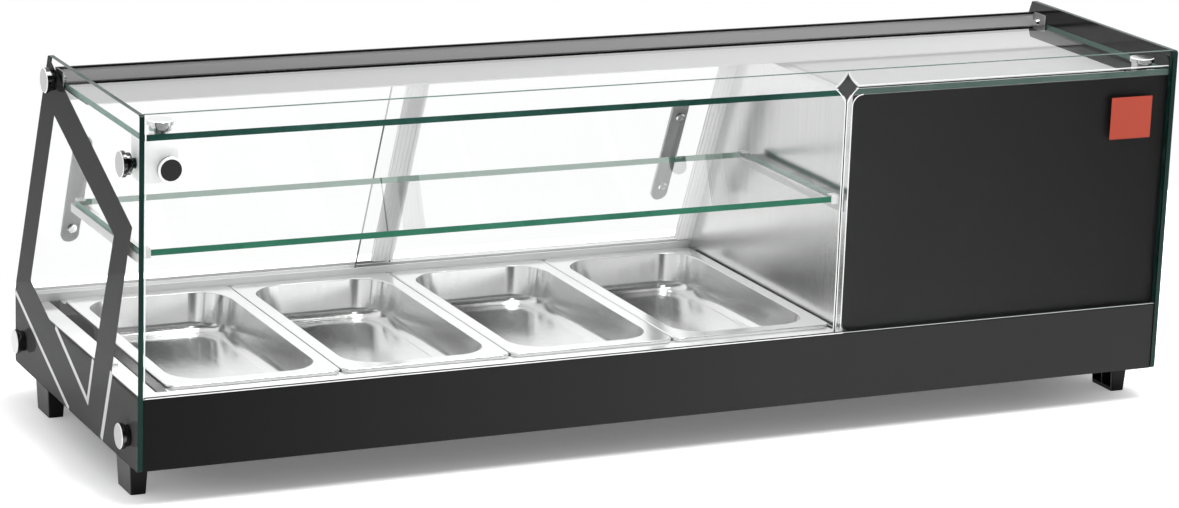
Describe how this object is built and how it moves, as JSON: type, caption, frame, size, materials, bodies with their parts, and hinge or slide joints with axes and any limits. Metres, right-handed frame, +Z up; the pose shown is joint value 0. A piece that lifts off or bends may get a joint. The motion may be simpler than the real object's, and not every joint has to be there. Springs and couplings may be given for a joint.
{
  "type": "refrigerated tapas display case",
  "caption": "Countertop refrigerated display case with a glazed body, recessed well of lift-out pans, glass shelf, sliding rear doors in a sloping back and a compressor housing at one end.",
  "frame": {"origin": "on the table, under the middle of the bounding box", "axes": "+X towards the compressor end, +Y towards the sliding doors (the operator's side), +Z up"},
  "size_m": [1.145, 0.4026, 0.378],
  "materials": {
    "stainless": "brushed",
    "pan_steel": "satin",
    "black_coat": "satin powder coat",
    "zinc_sheet": "zinc coated",
    "clear_glass": "clear float glass",
    "dark_glass": "dark printed glass",
    "chrome": "polished",
    "black_plastic": "moulded",
    "grey_plastic": "moulded",
    "track_plastic": "extruded",
    "profile_plastic": "translucent extrusion",
    "clip_plastic": "clear",
    "red_plate": "satin",
    "green_plastic": "translucent",
    "foam": "rigid foam",
    "copper": "drawn copper tube",
    "compressor_black": "gloss",
    "fin_aluminium": "mill finish",
    "rubber": "moulded"
  },
  "bodies": {
    "case": {"badge": "red_plate", "base_tray": "zinc_sheet", "compressor": "compressor_black", "compressor_grommets": "rubber", "condenser": "fin_aluminium", "cord_gland": "black_plastic", "corner_bracket_left": "chrome", "corner_bracket_right": "chrome", "deck": "stainless", "door_track_bottom": "track_plastic", "door_track_top": "track_plastic", "drain_plug": "black_plastic", "evaporator_coil": "copper", "fan_motor": "compressor_black", "fan_shroud": "zinc_sheet", "front_fascia": "black_coat", "front_glass": "clear_glass", "front_puck": "chrome", "housing_cover": "black_coat", "housing_front": "black_coat", "insulation": "foam", "left_side_glass": "clear_glass", "leg_back_left": "black_plastic", "leg_back_right": "black_plastic", "leg_front_left": "black_plastic", "leg_front_right": "black_plastic", "pan_rails": "stainless", "partition": "stainless", "power_switch": "black_plastic", "puck_bolts": "chrome", "rear_panel": "black_coat", "rear_panel_screws": "chrome", "rear_rail": "stainless", "refrigerant_pipes": "copper", "right_side_glass": "dark_glass", "shelf_bracket_left": "stainless", "shelf_bracket_right": "stainless", "shelf_clips": "clip_plastic", "shelf_glass": "clear_glass", "side_pucks": "chrome", "temperature_control": "black_plastic", "top_glass": "clear_glass", "top_pucks": "chrome", "well_liner": "stainless"},
    "left_door": {"left_door_panel": "clear_glass", "left_door_profile": "profile_plastic", "left_door_handle": "grey_plastic", "left_handle_screws": "chrome"},
    "right_door": {"right_door_panel": "clear_glass", "right_door_profile": "profile_plastic", "right_door_handle": "grey_plastic", "right_handle_screws": "chrome"},
    "pan_one": {"pan_1": "pan_steel"},
    "pan_two": {"pan_2": "pan_steel"},
    "pan_three": {"pan_3": "pan_steel"},
    "pan_four": {"pan_4": "pan_steel"},
    "fan": {"fan_rotor": "black_plastic"},
    "rocker": {"power_rocker": "green_plastic"},
    "down_button": {"button_down": "black_plastic"},
    "up_button": {"button_up": "black_plastic"}
  },
  "joints": [
    {"name": "left_door_slide", "type": "slide", "parent": "case", "child": "left_door", "axis": [1, 0, 0], "range_m": [0, 0.35]},
    {"name": "right_door_slide", "type": "slide", "parent": "case", "child": "right_door", "axis": [1, 0, 0], "range_m": [-0.35, 0]},
    {"name": "pan_1_lift", "type": "slide", "parent": "case", "child": "pan_one", "axis": [0, 0, 1], "range_m": [0, 0.02]},
    {"name": "pan_2_lift", "type": "slide", "parent": "case", "child": "pan_two", "axis": [0, 0, 1], "range_m": [0, 0.02]},
    {"name": "pan_3_lift", "type": "slide", "parent": "case", "child": "pan_three", "axis": [0, 0, 1], "range_m": [0, 0.02]},
    {"name": "pan_4_lift", "type": "slide", "parent": "case", "child": "pan_four", "axis": [0, 0, 1], "range_m": [0, 0.02]},
    {"name": "fan_spin", "type": "hinge", "parent": "case", "child": "fan", "pos_m": [0.4675, -0.04675, 0.19], "axis": [0, 1, 0], "continuous": true},
    {"name": "rocker_tilt", "type": "hinge", "parent": "case", "child": "rocker", "pos_m": [0.2375, 0.11147, 0.29683], "axis": [1, 0, 0], "range_deg": [-8, 8]},
    {"name": "button_down_press", "type": "slide", "parent": "case", "child": "down_button", "axis": [0, -0.9204, -0.391], "range_m": [0, 0.0012], "stiffness_N_per_m": 400, "springref_m": -0.001},
    {"name": "button_up_press", "type": "slide", "parent": "case", "child": "up_button", "axis": [0, -0.9204, -0.391], "range_m": [0, 0.0012], "stiffness_N_per_m": 400, "springref_m": -0.001}
  ]
}
